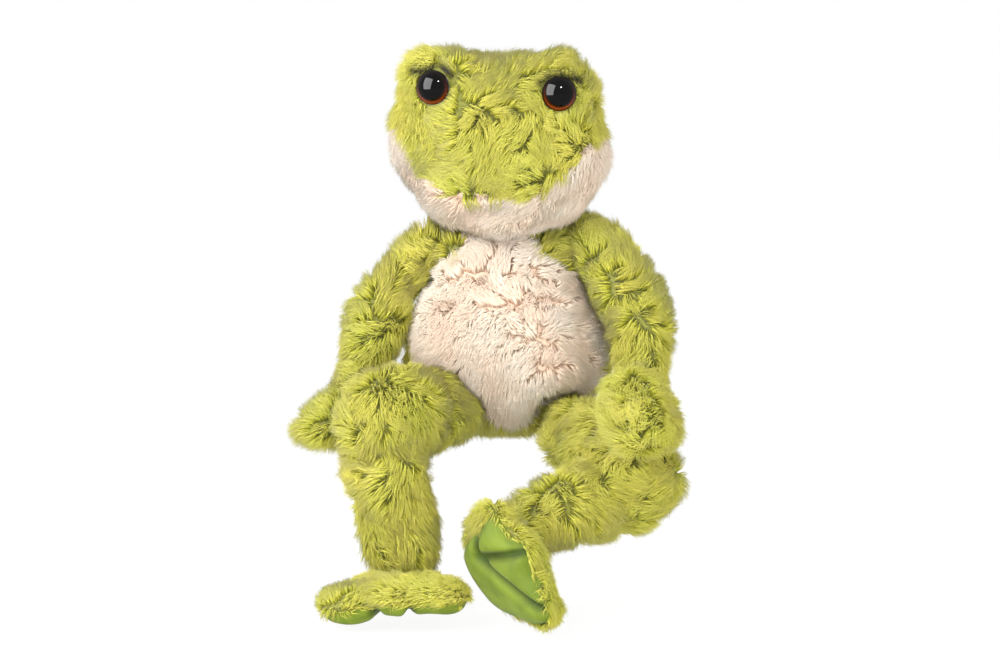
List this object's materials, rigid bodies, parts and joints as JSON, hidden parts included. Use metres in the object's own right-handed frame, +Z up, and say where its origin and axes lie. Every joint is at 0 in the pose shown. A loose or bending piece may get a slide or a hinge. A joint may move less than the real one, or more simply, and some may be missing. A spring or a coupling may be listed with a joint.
{
  "type": "plush frog",
  "caption": "Soft stuffed frog with long yellow-green pile, cream belly and jaw, glossy eyes and webbed feet, posed to sit on an edge with its legs hanging",
  "frame": {"origin": "middle of the flat patch under the seat of the body", "axes": "+Z up from the seat to the head; the frog looks along -Y, with its own right side at -X"},
  "size_m": [0.2056, 0.1925, 0.2883],
  "materials": {
    "green_pile": "yellow-green tufted faux fur with 12 mm pile",
    "cream_pile": "cream tufted faux fur with 10 mm pile",
    "sole_cloth": "smooth short-pile lime plush",
    "stuffing": "polyester fibre filling",
    "pouch_cloth": "plain woven bag of plastic pellets",
    "eye_back": "amber iris with a black pupil, behind the dome",
    "eye_lens": "polished clear dome",
    "washer": "moulded lock washer"
  },
  "bodies": {
    "body": {"body_skin": "green_pile", "belly_panel": "cream_pile", "body_stuffing": "stuffing", "bean_pouch": "pouch_cloth"},
    "neck": {"neck": "green_pile"},
    "head": {"head_crown": "green_pile", "jaw_panel": "cream_pile", "head_stuffing": "stuffing", "right_eye_back": "eye_back", "right_eye_lens": "eye_lens", "right_eye_washer": "washer", "left_eye_back": "eye_back", "left_eye_lens": "eye_lens", "left_eye_washer": "washer"},
    "right_arm": {"right_arm_skin": "green_pile", "right_arm_stuffing": "stuffing"},
    "right_hand": {"right_hand_skin": "green_pile", "right_hand_stuffing": "stuffing"},
    "left_arm": {"left_arm_skin": "green_pile", "left_arm_stuffing": "stuffing"},
    "left_hand": {"left_hand_skin": "green_pile", "left_hand_stuffing": "stuffing"},
    "right_thigh": {"right_thigh_skin": "green_pile", "right_thigh_stuffing": "stuffing"},
    "right_shin": {"right_shin_skin": "green_pile", "right_shin_stuffing": "stuffing"},
    "right_foot": {"right_foot_upper": "green_pile", "right_foot_sole": "sole_cloth", "right_foot_stuffing": "stuffing"},
    "left_thigh": {"left_thigh_skin": "green_pile", "left_thigh_stuffing": "stuffing"},
    "left_shin": {"left_shin_skin": "green_pile", "left_shin_stuffing": "stuffing"},
    "left_foot": {"left_foot_upper": "green_pile", "left_foot_sole": "sole_cloth", "left_foot_stuffing": "stuffing"}
  },
  "joints": [
    {"name": "head_turn", "type": "hinge", "parent": "body", "child": "neck", "pos_m": [0, 0.004, 0.115], "axis": [0, 0, -1], "range_deg": [-25, 25]},
    {"name": "head_nod", "type": "hinge", "parent": "neck", "child": "head", "pos_m": [0, 0.004, 0.115], "axis": [1, 0, 0], "range_deg": [-25, 10]},
    {"name": "right_shoulder", "type": "hinge", "parent": "body", "child": "right_arm", "pos_m": [-0.042, 0.002, 0.094], "axis": [-0.398, 0.6965, -0.597], "range_deg": [0, 70]},
    {"name": "left_shoulder", "type": "hinge", "parent": "body", "child": "left_arm", "pos_m": [0.042, 0, 0.099], "axis": [-0.398, -0.6965, 0.597], "range_deg": [0, 70]},
    {"name": "right_wrist", "type": "hinge", "parent": "right_arm", "child": "right_hand", "pos_m": [-0.085, -0.028, 0.031], "axis": [0.3094, 0.722, -0.6189], "range_deg": [0, 40]},
    {"name": "left_wrist", "type": "hinge", "parent": "left_arm", "child": "left_hand", "pos_m": [0.075, -0.049, 0.042], "axis": [-0.8081, -0.5051, 0.303], "range_deg": [0, 30]},
    {"name": "right_hip", "type": "hinge", "parent": "body", "child": "right_thigh", "pos_m": [-0.031, -0.027, 0.018], "axis": [-1, 0, 0], "range_deg": [-60, 0]},
    {"name": "left_hip", "type": "hinge", "parent": "body", "child": "left_thigh", "pos_m": [0.031, -0.026, 0.011], "axis": [-1, 0, 0], "range_deg": [-25, 0]},
    {"name": "right_knee", "type": "hinge", "parent": "right_thigh", "child": "right_shin", "pos_m": [-0.062, -0.075, 0.021], "axis": [-0.8362, 0.5317, -0.1341], "range_deg": [0, 90]},
    {"name": "left_knee", "type": "hinge", "parent": "left_thigh", "child": "left_shin", "pos_m": [0.066, -0.063, -0.013], "axis": [-0.0847, -0.5974, 0.7975], "range_deg": [0, 90]},
    {"name": "right_ankle", "type": "hinge", "parent": "right_shin", "child": "right_foot", "pos_m": [-0.053, -0.078, -0.047], "axis": [0.9896, -0.0535, 0.1333], "range_deg": [-30, 40]},
    {"name": "left_ankle", "type": "hinge", "parent": "left_shin", "child": "left_foot", "pos_m": [0.007, -0.084, -0.035], "axis": [0.444, -0.4158, -0.7937], "range_deg": [-15, 35]}
  ]
}
